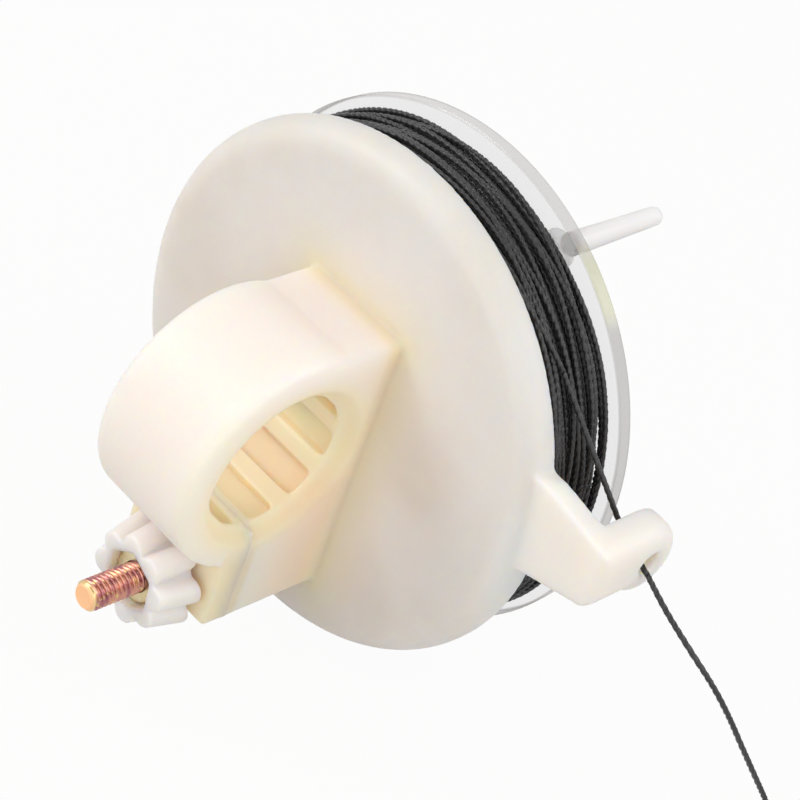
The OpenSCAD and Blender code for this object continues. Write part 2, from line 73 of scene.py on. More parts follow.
# ---------------------------------------------------------------- mesh helpers
def mesh_object(name, verts, faces, smooth=True):
    """A mesh object from points in millimetres."""
    mesh = bpy.data.meshes.new(name)
    mesh.from_pydata((np.asarray(verts, float) * MM).tolist(), [],
                     [list(map(int, f)) for f in faces])
    mesh.validate()
    if smooth:
        mesh.shade_smooth()
    return new_object(name, mesh)


def ring_faces(rings, sides, start=0):
    """Quads between rings of points, in the order that faces outward."""
    i, k = np.meshgrid(np.arange(rings - 1), np.arange(sides), indexing="ij")
    a, b = start + i * sides + k, start + i * sides + (k + 1) % sides
    return np.stack([a, b, b + sides, a + sides], -1).reshape(-1, 4).tolist()


def box_mesh(bm, low, high):
    """Adds a box between two corners in millimetres to a bmesh."""
    made = bmesh.ops.create_cube(bm, size=1.0)["verts"]
    low, high = Vector(low) * MM, Vector(high) * MM
    for v in made:
        v.co = Vector([(low[k] + high[k]) / 2 + v.co[k] * (high[k] - low[k])
                       for k in range(3)])


def applied(obj):
    """The object with its modifiers made real."""
    bpy.context.view_layer.update()
    graph = bpy.context.evaluated_depsgraph_get()
    mesh = bpy.data.meshes.new_from_object(obj.evaluated_get(graph))
    obj.modifiers.clear()
    obj.data = mesh
    obj.data.shade_smooth()
    return obj


def softened(node, name, voxel, rounds, ratio, fill=()):
    """A copy of a CAD node as it leaves its mould, with its edges and inner corners rounded.
    fill is boxes that close a slit too narrow for the grid."""
    bm = bmesh.new()
    bm.from_mesh(nodes[node].data)
    bmesh.ops.remove_doubles(bm, verts=bm.verts, dist=2e-6)
    for low, high in fill:
        box_mesh(bm, low, high)
    mesh = bpy.data.meshes.new(name)
    bm.to_mesh(mesh)
    bm.free()
    obj = new_object(name, mesh)
    m = obj.modifiers.new("Remesh", "REMESH")
    m.mode, m.voxel_size, m.adaptivity = "VOXEL", voxel * MM, 0
    m = obj.modifiers.new("Smooth", "SMOOTH")
    m.factor, m.iterations = 0.5, rounds
    m = obj.modifiers.new("Decimate", "DECIMATE")
    m.ratio = ratio
    return applied(obj)


# ---------------------------------------------------------------- routes of the line
def catmull(points, steps):
    """Smooth route through points, as the part's source draws it."""
    p = [np.array(q, float) for q in points]
    out = []
    for i in range(len(p) - 1):
        a, b, c, d = p[max(i - 1, 0)], p[i], p[i + 1], p[min(i + 2, len(p) - 1)]
        for s in range(steps):
            t = s / steps
            out.append(0.5 * (2 * b + (c - a) * t + (2 * a - 5 * b + 4 * c - d) * t * t
                              + (3 * b - a - 3 * c + d) * t ** 3))
    return np.array(out + [p[-1]])


def distance_along(path):
    """How far along a path each of its points lies."""
    return np.r_[0, np.cumsum(np.linalg.norm(np.diff(path, axis=0), axis=1))]


def resample(path, step):
    """The same line in equal steps."""
    s = distance_along(path)
    at = np.linspace(0, s[-1], max(int(round(s[-1] / step)), 2) + 1)
    return np.stack([np.interp(at, s, path[:, k]) for k in range(3)], 1)


# ---------------------------------------------------------------- twisted line
LINE_R = 0.6        # as the source has it
STRANDS_R = 0.575   # round the three strands that are drawn
LAY = 4.6           # length of one twist
SIDES = 12          # points round the line
STEP = 0.55         # between its rings
STRANDS = 3
# The centre of a strand and its radius, as shares of the line's own radius
STRAND_OFF, STRAND_R = 0.36, 0.64
# How the twist wanders along the line: size in turns, rate and phase
TWIST_WAVES = ((0.12, 0.23, 0), (0.16, 0.077, 1), (0.05, 0.61, 0))


def strand_outline():
    """Radius round the line, valley to valley for each strand, as a share of the line's."""
    points = SIDES // STRANDS
    d = np.radians(-60 + 120 * np.arange(points) / points)
    bulge = np.sqrt(STRAND_R ** 2 - (STRAND_OFF * np.sin(d)) ** 2)
    return np.tile(STRAND_OFF * np.cos(d) + bulge, STRANDS)


def carried_side(tangents):
    """A direction square to a path at each point, carried along it without a twist."""
    side = np.empty_like(tangents)
    v = np.cross([0, 0, 1.0], tangents[0])
    for i, t in enumerate(tangents):
        v = v - (v @ t) * t
        v /= np.linalg.norm(v)
        side[i] = v
    return side


def twisted_line(name, path):
    """A closed tube along a path whose section is three strands laid round each other. Its
    attribute crest is 0 in the valleys between the strands and 1 on them."""
    n = len(path)
    tangents = np.gradient(path, axis=0)
    tangents /= np.linalg.norm(tangents, axis=1)[:, None]
    side = carried_side(tangents)
    other = np.cross(tangents, side)
    s = distance_along(path)
    turns = s / LAY
    for size, rate, phase in TWIST_WAVES:
        turns = turns + size * np.sin(s * rate + phase)
    angle = (tau * turns)[:, None] + tau * np.arange(SIDES)[None] / SIDES
    outline = strand_outline()
    r = STRANDS_R * outline[None, :, None]
    rings = path[:, None] + r * (np.cos(angle)[..., None] * side[:, None]
                                 + np.sin(angle)[..., None] * other[:, None])
    verts = np.vstack([rings.reshape(-1, 3), path[:1], path[-1:]])
    last, start_mid, end_mid = (n - 1) * SIDES, n * SIDES, n * SIDES + 1
    faces = ring_faces(n, SIDES)
    faces += [[start_mid, (k + 1) % SIDES, k] for k in range(SIDES)]
    faces += [[end_mid, last + k, last + (k + 1) % SIDES] for k in range(SIDES)]
    obj = mesh_object(name, verts, faces)
    crest = np.tile((outline - outline.min()) / (outline.max() - outline.min()), n)
    data = obj.data.attributes.new("crest", "FLOAT", "POINT")
    data.data.foreach_set("value", np.r_[crest, 0.5, 0.5].astype(np.float32))
    return obj


# ---------------------------------------------------------------- the line's end
# Route of the tail from the guide's hole: along X, along Y, and the share of the way down
# from the hole to where it lies
HOLE_OUT = np.array([66.0, 36.2, 7.4])
REST_Z = -49.35
TAIL_SHAPE = [(0, 0, 0), (6.2, -0.1, 0.053), (12.7, 0.4, 0.107), (18.9, 2.4, 0.183),
              (22.9, 5.4, 0.276), (26.5, 9.4, 0.397), (29.6, 13.6, 0.516), (32.5, 17.4, 0.626),
              (35.5, 21.1, 0.756), (38.3, 24.3, 0.875), (42.1, 27.5, 0.956), (47.3, 30.5, 0.995),
              (53.7, 33.3, 1), (60.7, 34.3, 1), (67.3, 32.7, 1), (72.5, 28.7, 1), (75.7, 23.1, 1),
              (77.1, 16.7, 0.998), (77.3, 10.7, 0.989)]
KNOT_X, KNOT_Y, KNOT_Z = 77.3, 4.7, -47.8

tail_points = [HOLE_OUT + np.array([x, y, down * (REST_Z - HOLE_OUT[2])])
               for x, y, down in TAIL_SHAPE]
tail_points.append(HOLE_OUT + np.array([KNOT_X, KNOT_Y, KNOT_Z - HOLE_OUT[2]]))
tail_path = resample(catmull(tail_points, 12), STEP)
line_tail = twisted_line("line_tail_twisted", tail_path)
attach(line_tail, "frame")
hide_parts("line_tail")

# Stopper knot: turns of the line round its own end
KNOT_TURNS, KNOT_R, KNOT_LEN, KNOT_START, KNOT_STEP = 2.6, 1.3, 3.5, 0.75, 0.45
KNOT_IN = np.array([0, 0.2, 0])
KNOT_TIP = np.array([0.0, -1.0, -1.4])

end = tail_path[-1]
q = np.linspace(0, 1, 70)
coil = np.stack([end[0] + KNOT_R * np.sin(tau * KNOT_TURNS * q),
                 end[1] - KNOT_START - KNOT_LEN * q,
                 end[2] + KNOT_R * np.cos(tau * KNOT_TURNS * q)], 1)
inward = np.stack([end + KNOT_IN + (coil[0] - end - KNOT_IN) * w
                   for w in np.linspace(0, 1, 6)])[:-1]
tip = coil[-1] + np.stack([KNOT_TIP * w for w in np.linspace(0.12, 0.5, 4)])
knot = twisted_line("line_knot_coil", resample(np.vstack([inward, coil, tip]), KNOT_STEP))
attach(knot, "frame")
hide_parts("line_knot")

# From the winding to the guide, taut, and through its hole
LEAD_R, LEAD_A, LEAD_Y = 47.4, math.radians(40), 33.4
HOLE_IN = np.array([57.2, 37.2, 10.4])
HOLE_MID = np.array([61.8, 36.6, 8.6])

lead_start = np.array([LEAD_R * math.cos(LEAD_A), LEAD_Y, LEAD_R * math.sin(LEAD_A)])
lead_points = [lead_start + (HOLE_IN - lead_start) * k / 4 for k in range(5)]
lead_points += [HOLE_MID, HOLE_OUT]
lead_path = resample(catmull(lead_points, 10), STEP)
line_lead = twisted_line("line_lead_twisted", lead_path)
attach(line_lead, "frame")
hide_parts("line_lead")


# ---------------------------------------------------------------- the winding
# An even layer, then looser turns that wander back across it and rest on it. The last one
# crosses the others and goes on as the straight line to the guide.
PER_TURN = 440
EVEN_TURNS, LOOSE_TURNS = 13, 12
Y_FRONT, Y_BACK = 27.35, 43.2
LAYER_R, TOP_R = 45.5, 46.9
WOBBLE_Y, WOBBLE_R = 0.06, 0.08   # of the even layer
LEAST_RISE = 0.3                  # of a loose turn over the even layer
SIDE_RISE = 0.5                   # what loose turns may rise over TOP_R outside the middle
MIDDLE_Y0, MIDDLE_Y1 = 30.5, 37
TOUCH = 2 * LINE_R * 0.94         # between the middles of two turns that press on each other
CROSSING_TURN = 0.075             # of the last turn, in which it crosses the others
# Where each loose turn starts along the spool's axis
DRIFT = [43.2, 42.25, 41.1, 39.8, 38.5, 37.2, 35.9, 34.6, 33.3, 31.9, 30.5, 29.1, 27.9]
# How the loose turns wander off it: size, waves in a turn and phase
WANDER_WAVES = ((0.75, 1.83, 0.6), (0.55, 2.71, 2.1), (0.42, 4.37, 4.0), (0.24, 6.3, 1.0))

even_at = np.arange(PER_TURN * EVEN_TURNS + 1) / PER_TURN
y_even = (Y_FRONT + (Y_BACK - Y_FRONT) * even_at / EVEN_TURNS
          + WOBBLE_Y * np.sin(5.1 * even_at + 0.4))
r_even = LAYER_R + WOBBLE_R * np.sin(tau * even_at * 1.37)

loose_at = np.arange(PER_TURN * LOOSE_TURNS + 1) / PER_TURN
loose_angle = LEAD_A - tau * (EVEN_TURNS + loose_at)
turns_left = LOOSE_TURNS - loose_at
drift = np.interp(loose_at, range(LOOSE_TURNS + 1), DRIFT)
wander = sum(size * np.sin(tau * rate * loose_at + phase) for size, rate, phase in WANDER_WAVES)
# The first loose turns and the end of the last one wander less
wander = wander * np.clip((loose_at - 0.8) / 1.2, 0.05, 1) * np.clip(turns_left / 0.4, 0, 1)
y_loose = np.clip(drift + wander, Y_FRONT, Y_BACK)
crossing = np.clip(1 - turns_left / CROSSING_TURN, 0, 1)
y_loose += (lead_start[1] - y_loose[-1]) * crossing ** 1.5


def turn_part(k):
    """The points of turn k."""
    return slice(k * PER_TURN, (k + 1) * PER_TURN + 1)


def laid_on(below, y):
    """Radius of a turn at y that rests on the turns below it, up to the winding's top."""
    r = np.full(len(y), LAYER_R + LEAST_RISE)
    for y_low, r_low in below:
        gap = np.abs(y - y_low)
        rise = np.sqrt(np.maximum(TOUCH ** 2 - gap ** 2, 0))
        r = np.maximum(r, np.where(gap < TOUCH, r_low + rise, 0))
    in_middle = (y > MIDDLE_Y0) & (y < MIDDLE_Y1)
    return np.minimum(r, TOP_R + np.where(in_middle, 0, SIDE_RISE))


def bridged(r):
    """Radii of a line that runs on over the dips between the turns it lies on."""
    wide, blur, sigma = 10, 24, 9.0
    r = np.max([np.roll(r, s) for s in range(-wide, wide + 1)], axis=0)
    kernel = np.exp(-0.5 * (np.arange(-blur, blur + 1) / sigma) ** 2)
    return np.convolve(np.pad(r, blur, mode="edge"), kernel / kernel.sum(), mode="valid")


def swell(centre, width):
    """1 at an angle in degrees, falling to 0 that many degrees to each side of it."""
    off = np.degrees(np.angle(np.exp(1j * (loose_angle - math.radians(centre)))))
    return np.where(np.abs(off) < width, 0.5 + 0.5 * np.cos(np.pi * off / width), 0)


laid = [(y_even[turn_part(k)], r_even[turn_part(k)]) for k in range(EVEN_TURNS)]
r_loose = np.empty(len(loose_at))
for k in range(LOOSE_TURNS):
    part = turn_part(k)
    r_loose[part] = laid_on(laid, y_loose[part])
    laid.append((y_loose[part], r_loose[part].copy()))
r_loose = bridged(r_loose)

# The turns next to the clear flange lie slack and stand out on the side of the guide, the
# more the nearer they are to the flange, and the first of them most of all
fade_in = np.clip(loose_at / 0.12, 0, 1)
r_loose += np.interp(y_loose, [37, 39, 41, 42.3, 43.2], [0, 0.45, 0.85, 1.0, 1.1]) \
    * swell(25, 66) * fade_in
r_loose += np.interp(y_loose, [38, 41, 43], [0, 0.35, 0.55]) * swell(38, 26) * fade_in
r_loose += np.where(loose_at < 1, 0.6 * swell(15, 12), 0) * fade_in
# The last turn rises to where the straight line leaves it
r_loose += np.clip(crossing * 1.8, 0, 1) * (LEAD_R - r_loose[-1])

wound_angle = np.r_[LEAD_A - tau * even_at, loose_angle[1:]]
wound_y = np.r_[y_even, y_loose[1:]]
wound_r = np.r_[r_even, r_loose[1:]]
# The step from the even layer up to the loose one is eased over so many points to each side
ease, mid = 55, len(y_even)
share = np.linspace(0, 1, 2 * ease)
share = share * share * (3 - 2 * share)
for values in (wound_y, wound_r):
    values[mid - ease:mid + ease] = (values[mid - ease] * (1 - share)
                                     + values[mid + ease] * share)
wound_path = np.stack([wound_r * np.cos(wound_angle), wound_y,
                       wound_r * np.sin(wound_angle)], 1)
wound = twisted_line("line_winding_twisted", wound_path)
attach(wound, "spool")
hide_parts("line_winding")

# Lower layers of the winding: ridges seen between the turns above them and, through the clear
# flange, uneven rings. A point of the profile is its radius, its place along the axis, its
# ring's number and how far that ring wanders.
CORE_R, DRUM_R, CORE_Y0, CORE_Y1 = 44.95, 22.0, 26.62, 43.88
CORE_SIDES = 216
RIDGES, RINGS, PER_RING = 9, 19, 6
RIDGE_DIP, RING_DIP, RING_SINK = 0.28, 0.42, 0.14
BEVEL_Y, BEVEL_R = 0.5, 0.4
# How a ring wanders in and out: size, waves round it and shift from ring to ring
RING_WAVES = ((0.26, 2, 0.9), (0.12, 5, 2.3))

profile = [(DRUM_R, CORE_Y0, 0, 0)]
for k in range(RIDGES * PER_RING + 1):
    y = CORE_Y0 + BEVEL_Y + (CORE_Y1 - CORE_Y0 - 2 * BEVEL_Y) * k / (RIDGES * PER_RING)
    r = CORE_R + RIDGE_DIP * (abs(math.cos(math.pi * k / PER_RING)) - 1)
    profile.append((r, y, 0, 0))
for k in range(RINGS * PER_RING + 1):
    ring = k / PER_RING
    r = CORE_R - BEVEL_R - (CORE_R - BEVEL_R - DRUM_R) * k / (RINGS * PER_RING)
    dip = RING_DIP * (1 - abs(math.sin(math.pi * k / PER_RING)))
    profile.append((r, CORE_Y1 - dip, ring, min(1, ring, RINGS - ring)))
verts = []
for r, y, ring, loose in profile:
    for k in range(CORE_SIDES):
        turn = tau * k / CORE_SIDES
        off = loose * sum(size * math.sin(waves * turn + shift * ring)
                          for size, waves, shift in RING_WAVES)
        sunk = loose * RING_SINK * (1 + math.sin(3 * turn + 1.7 * ring))
        verts.append([(r + off) * math.cos(turn), y - sunk, (r + off) * math.sin(turn)])
faces = [[a, d, c, b] for a, b, c, d in ring_faces(len(profile), CORE_SIDES)]
last = (len(profile) - 1) * CORE_SIDES
faces += [[last + k, last + (k + 1) % CORE_SIDES, (k + 1) % CORE_SIDES, k]
          for k in range(CORE_SIDES)]
core = mesh_object("line_core_layers", verts, faces)
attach(core, "spool")
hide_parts("line_core")


# ---------------------------------------------------------------- moulded parts
# The slit through the lugs is closed for the smoothing, and cut again after it. The boxes
# that close it, given by their ends along X and Z, leave the hole of the clamp's bolt open.
SLIT, SLIT_Y, FILL = 0.18, -2.1, 0.5
FILL_XZ = ((-11.1, 12.9, -27.0, -14.35), (-11.1, 12.9, -35.9, -33.6),
           (-11.1, -2.3, -33.7, -26.9), (4.3, 12.9, -33.7, -26.9))
CUT_X0, CUT_X1, CUT_Z0, CUT_Z1 = -12.5, 14.5, -37.5, -10.0
KNOB_MOULD = (0.24, 20, 0.6)   # voxel size, rounds of smoothing and share of faces kept
PLATE_MOULD = (0.42, 14, 0.55)

slit_fill = [((x0, SLIT_Y - FILL, z0), (x1, SLIT_Y + FILL, z1)) for x0, x1, z0, z1 in FILL_XZ]
plate = softened("side_plate", "side_plate_moulding", *PLATE_MOULD, slit_fill)
bm = bmesh.new()
box_mesh(bm, (CUT_X0, SLIT_Y - SLIT / 2, CUT_Z0), (CUT_X1, SLIT_Y + SLIT / 2, CUT_Z1))
cutter = new_object("slit_cutter", bpy.data.meshes.new("slit_cutter"))
bm.to_mesh(cutter.data)
bm.free()
m = plate.modifiers.new("Slit", "BOOLEAN")
m.operation, m.solver, m.object = "DIFFERENCE", "EXACT", cutter
applied(plate)
bpy.data.objects.remove(cutter)
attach(plate, "frame")
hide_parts("side_plate")
clamp_knob = softened("clamp_knob", "clamp_knob_moulding", *KNOB_MOULD)
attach(clamp_knob, "clamp_screw")
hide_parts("clamp_knob")
drag_knob = softened("drag_knob", "drag_knob_moulding", *KNOB_MOULD)
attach(drag_knob, "drag_screw")
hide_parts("drag_knob")


# ---------------------------------------------------------------- bolts with their threads
THREAD_R, ROOT_R, SHANK_R = 2.97, 2.42, 2.68
PITCH, PER_PITCH, BOLT_SIDES = 1.0, 8, 32
CREST, FLANK = 0.14, 0.64        # of the thread's section, as shares of half a pitch
RUN_OUT = 0.6                    # from the shank to the thread's start
TIP_R, TIP_SLOPE = 2.15, 0.95    # chamfer at the bolt's end
TIP_FACE_R, TIP_DISH = 1.5, 0.12
HEAD_SIDES, FLAT_R = 48, 5.0
SHARP = math.radians(50)         # edges steeper than this stay sharp
# Radius and height along the head, where None stands for the hexagon
HEAD = ((0.01, 0.0), (4.6, 0.0), (None, -0.25), (None, -3.5), (4.75, -4.0), (0.01, -4.0))


def bolt(name, seat, tip_dir, length, thread_len, at, turn):
    """M6 hexagon bolt with a right-hand thread. It runs from its seat along tip_dir, which is
    +1 or -1 along Y, through (x, z) = at, and turn is its head's angle."""
    start = length - thread_len
    z = np.r_[0.0, start - RUN_OUT, np.arange(start, length + 1e-6, PITCH / PER_PITCH)]
    around = tau * np.arange(BOLT_SIDES) / BOLT_SIDES
    phase = (z[:, None] / PITCH - around[None] / tau) % 1.0
    depth = np.clip((np.abs(phase - 0.5) * 2 - CREST) / FLANK, 0, 1)
    radii = THREAD_R - (THREAD_R - ROOT_R) * depth
    radii = np.where(z[:, None] < start, SHANK_R, radii)
    radii = np.minimum(radii, TIP_R + (length - z[:, None]) * TIP_SLOPE)
    verts = [[r * math.cos(t), r * math.sin(t), h]
             for row, h in zip(radii, z) for r, t in zip(row, around)]
    faces = ring_faces(len(z), BOLT_SIDES)
    rim, tip = (len(z) - 1) * BOLT_SIDES, len(verts)
    verts += [[TIP_FACE_R * math.cos(t), TIP_FACE_R * math.sin(t), length - TIP_DISH]
              for t in around]
    faces += ring_faces(2, BOLT_SIDES, rim) + [list(range(tip, tip + BOLT_SIDES))]
    head, sixth, half = len(verts), math.radians(60), math.radians(30)
    for round_r, h in HEAD:
        for k in range(HEAD_SIDES):
            t = tau * k / HEAD_SIDES
            r = round_r or FLAT_R / math.cos((t + half) % sixth - half)
            verts.append([r * math.cos(t), r * math.sin(t), h])
    faces += [f[::-1] for f in ring_faces(len(HEAD), HEAD_SIDES, head)]
    v = np.array(verts)
    c, s = math.cos(turn), math.sin(turn)
    x, w = v[:, 0] * c - v[:, 1] * s, v[:, 0] * s + v[:, 1] * c
    out = np.stack([at[0] + x, seat + tip_dir * v[:, 2], at[1] - tip_dir * w], 1)
    obj = mesh_object(name, out, faces)
    obj.data.set_sharp_from_angle(angle=SHARP)
    return obj


clamp_bolt = bolt("clamp_bolt_threaded", seat=18.2, tip_dir=-1, length=45, thread_len=32,
                  at=(1.0, -30.3), turn=0)
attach(clamp_bolt, "frame")
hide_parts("clamp_bolt")
axle_bolt = bolt("axle_bolt_threaded", seat=21.6, tip_dir=1, length=42, thread_len=18,
                 at=(0.0, 0.0), turn=math.radians(30))
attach(axle_bolt, "frame")
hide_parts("axle_bolt")


# ---------------------------------------------------------------- node trees
class Tree:
    """A node tree under construction: add() makes a node, and set() fills its sockets, named
    by their label with _ for a space, or by their number as i0, i1 and so on."""

    def __init__(self, tree):
        self.tree = tree

    def add(self, kind, props=None, **sockets):
        node = self.tree.nodes.new(kind)
        for key, value in (props or {}).items():
            setattr(node, key, value)
        self.set(node, **sockets)
        return node

    def set(self, node, **sockets):
        for key, value in sockets.items():
            numbered = key[0] == "i" and key[1:].isdigit()
            socket = node.inputs[int(key[1:]) if numbered else key.replace("_", " ")]
            if isinstance(value, bpy.types.NodeSocket):
                self.tree.links.new(value, socket)
            else:
                socket.default_value = value

    def math(self, op, a, b=0.0):
        return self.add("ShaderNodeMath", {"operation": op}, i0=a, i1=b).outputs[0]

    def times(self, first, *others):
        for other in others:
            first = self.math("MULTIPLY", first, other)
        return first

    def radius(self, a, b):
        """Square root of the sum of two squares."""
        return self.math("SQRT", self.math("ADD", self.times(a, a), self.times(b, b)))

    def background_rays(self):
        """1 for the rays that show a background: straight, mirrored and through glass."""
        rays = self.add("ShaderNodeLightPath").outputs
        indirect = self.math("MAXIMUM", rays["Is Glossy Ray"], rays["Is Transmission Ray"])
        return self.math("MAXIMUM", rays["Is Camera Ray"], indirect)


class Material(Tree):
    """A material, with helpers for patterns that lie in the object's own metres."""

    def __init__(self, name):
        self.mat = bpy.data.materials.new(name)
        self.mat.use_nodes = True
        super().__init__(self.mat.node_tree)
        self.shader = self.tree.nodes["Principled BSDF"]
        self.coords = self.add("ShaderNodeTexCoord").outputs["Object"]

    def xyz(self):
        return self.add("ShaderNodeSeparateXYZ", Vector=self.coords).outputs

    def noise(self, scale, detail=4.0, rough=0.55, stretch=None):
        vec = self.coords
        if stretch:
            vec = self.add("ShaderNodeMapping", i0=vec, i3=stretch).outputs[0]
        return self.add("ShaderNodeTexNoise", Vector=vec, Scale=scale, Detail=detail,
                        Roughness=rough).outputs["Fac"]

    def mix(self, fac, a, b):
        node = self.add("ShaderNodeMix", {"data_type": "RGBA"}, i0=fac, i6=a, i7=b)
        return node.outputs[2]

    def above(self, value, low, high):
        """0 below low, 1 above high, and smooth between them."""
        return self.add("ShaderNodeMapRange", {"interpolation_type": "SMOOTHSTEP"},
                        Value=value, From_Min=low, From_Max=high).outputs[0]

    def below(self, value, low, high):
        """1 below low, 0 above high, and smooth between them."""
        return self.math("SUBTRACT", 1.0, self.above(value, low, high))

    def spread(self, value, low, high):
        """A value of 0 to 1 as low to high."""
        return self.add("ShaderNodeMapRange", Value=value, To_Min=low, To_Max=high).outputs[0]

    def bump(self, height, strength, distance):
        node = self.add("ShaderNodeBump", Height=height, Strength=strength, Distance=distance)
        self.set(self.shader, Normal=node.outputs[0])


def rgb(r, g, b):
    """A colour from display values of 0 to 255."""
    lin = [c / 12.92 if c <= 0.04045 else ((c + 0.055) / 1.055) ** 2.4
           for c in (r / 255, g / 255, b / 255)]
    return (*lin, 1.0)


# ---------------------------------------------------------------- materials
PALE, PALE_SCALE, PALE_SPREAD = rgb(247, 245, 245), 0.002, (1.0, 0.86, 0.76)


def nylon(name, base, deep, scale, spread):
    """Translucent moulded nylon: the material under construction, and its colour."""
    m = Material(name)
    color = m.mix(m.above(m.noise(38, 3), 0.35, 0.7), base, deep)
    m.set(m.shader, Base_Color=color, IOR=1.53, Subsurface_Weight=1.0, Subsurface_Scale=scale,
          Subsurface_Radius=spread, Roughness=m.spread(m.noise(160, 3), 0.40, 0.54))
    m.bump(m.noise(420, 3), 0.05, 0.0004)
    return m, color


def natural_nylon():
    """Nylon of the side plate and the knobs, with painted light in its colour. The thick block
    and the guide are painted creamier, and the bore warmer, as a painted glow of the light that
    comes through them from behind. Each part of the side plate has a mask, and each mask mixes
    its colour over what came before it."""
    scale = 0.0075
    m, color = nylon("natural_nylon", rgb(242, 229, 223), rgb(234, 221, 212), scale,
                     (1.0, 0.72, 0.42))
    x, y, z = m.xyz()
    # The block with its strap, in front of the disc, and the guide beyond the rim
    block = m.below(y, 0.0165, 0.0192)
    guide = m.times(m.above(x, 0.043, 0.050), 0.9)
    # The bore, painted warmer as a glow of light through its walls, its grooves more than its
    # ribs
    from_axis = m.radius(y, z)
    bore = m.times(m.below(from_axis, 0.0158, 0.0205), m.below(x, 0.0128, 0.0140))
    bore_glow = m.mix(m.above(from_axis, 0.0144, 0.0160), rgb(255, 239, 212),
                       rgb(255, 234, 198))
    # Painted light: the block's end face and the lug between slit and knob get a painted warm
    # glow, the lug's over the knob's shadow, and the foot below the bore a painted amber shade
    end = m.times(m.above(x, 0.0095, 0.0125), m.below(x, 0.016, 0.022),
                  m.below(z, 0.014, 0.022), block)
    foot = m.times(m.below(z, -0.012, -0.004), m.above(y, 0.000, 0.016), block)
    lug = m.times(m.below(z, -0.022, -0.014), m.below(y, -0.001, 0.001),
                  m.above(y, -0.0081, -0.0076))
    # How far a point lies beside the block, from the block's middle and half its size
    beside = []
    for value, middle, half in ((x, 0.0009, 0.0121), (z, -0.00685, 0.02915)):
        off = m.math("ABSOLUTE", m.math("SUBTRACT", value, middle))
        beside.append(m.math("MAXIMUM", m.math("SUBTRACT", off, half), 0.0))
    away = m.radius(*beside)
    front = m.below(y, 0.0225, 0.0235)
    # Round the block the plate is painted warmer, a painted glow of light through the block, most
    # of all in the corner between them
    glow_round_block = m.times(m.below(away, 0.0, 0.012), front, m.math("SUBTRACT", 1.0, block))
    corner = m.times(m.below(away, 0.0005, 0.0035), m.above(y, 0.0135, 0.0185), front)
    # Each mask paints light into the colour: a creamy glow on block and guide, and a warm glow in
    # the bore
    for mask, over in ((m.math("MAXIMUM", block, guide), rgb(255, 238, 232)),
                       (bore, bore_glow),
                       (m.times(end, 0.4), rgb(255, 238, 212)),
                       (m.times(foot, 0.45), rgb(238, 206, 170)),
                       (m.times(lug, 0.9), rgb(255, 226, 192)),
                       (m.times(glow_round_block, 0.6), rgb(244, 228, 200)),
                       (m.times(corner, 0.35), rgb(255, 230, 186))):
        color = m.mix(mask, color, over)
    # Light goes less far in the bore, which keeps its grooves clear
    reach = m.math("SUBTRACT", scale, m.times(bore, 0.6 * scale))
    m.set(m.shader, Base_Color=color, Subsurface_Scale=reach)
    return m.mat


def peg_nylon():
    """White nylon whose foot, in the clear flange, lets more of what is behind it through."""
    m, _ = nylon("clear_nylon", PALE, rgb(243, 241, 241), PALE_SCALE, PALE_SPREAD)
    foot = m.below(m.xyz()[1], 0.0467, 0.0480)
    m.set(m.shader, Alpha=m.math("SUBTRACT", 0.93, m.times(foot, 0.6)))
    return m.mat


def metal(name, base, tint, rough, scale, stretch):
    m = Material(name)
    grain = m.noise(scale, 5, 0.6, stretch)
    cloud = m.above(m.noise(220, 2), 0.35, 0.65)
    m.set(m.shader, Base_Color=m.mix(cloud, base, tint), Metallic=1.0,
          Roughness=m.spread(grain, rough - 0.08, rough + 0.12))
    m.bump(grain, 0.2, 0.0001)
    return m.mat


def bolt_zinc():
    """Yellow-passivated zinc, which goes from rose to gold, and to peach on the bolt's end."""
    m = Material("yellow_zinc")
    grain = m.noise(900, 5, 0.6, (1, 8, 1))
    y = m.xyz()[1]
    rim = m.below(y, -0.0260, -0.0256)
    end = m.below(y, -0.0266, -0.0262)
    color = m.mix(m.above(m.noise(420, 2), 0.40, 0.62), rgb(206, 148, 128), rgb(168, 112, 116))
    for mask, over in ((m.above(m.noise(760, 2), 0.55, 0.70), rgb(214, 184, 128)),
                       (rim, rgb(226, 200, 146)), (end, rgb(255, 200, 150))):
        color = m.mix(mask, color, over)
    m.set(m.shader, Base_Color=color, Metallic=m.math("SUBTRACT", 1.0, m.times(end, 0.7)),
          Roughness=m.math("ADD", m.spread(grain, 0.20, 0.40), m.times(end, 0.25)))
    m.bump(grain, 0.2, 0.0001)
    return m.mat


def waxed_line():
    """Dark line with painted shade between the strands and a painted sheen on them: the valleys
    are one dark colour, and the strands greyer in patches. It is a little shiny and has a few
    pale specks.
    """
    m = Material("dark_line")
    crest = m.add("ShaderNodeAttribute", {"attribute_name": "crest"}).outputs["Fac"]
    top = m.mix(m.above(m.noise(260, 3), 0.40, 0.72), rgb(28, 27, 28), rgb(42, 41, 41))
    top = m.mix(m.above(m.noise(2300, 2), 0.70, 0.78), top, rgb(122, 118, 114))
    m.set(m.shader, Base_Color=m.mix(m.above(crest, 0.1, 1.0), rgb(32, 31, 33), top),
          Roughness=0.33, Sheen_Weight=0.15, Sheen_Roughness=0.5, Specular_IOR_Level=0.5)
    m.bump(m.noise(2600, 3, 0.6), 0.4, 0.0002)
    return m.mat


# Painted light: the lower layers are painted lighter than the line on top of them, which lifts
# the shade in the gaps between the turns
def packed_line():
    m = Material("packed_line")
    color = m.mix(m.above(m.noise(500, 3), 0.4, 0.7), rgb(36, 35, 37), rgb(50, 49, 50))
    m.set(m.shader, Base_Color=color, Roughness=0.7)
    m.bump(m.noise(1500, 3), 0.5, 0.0002)
    return m.mat


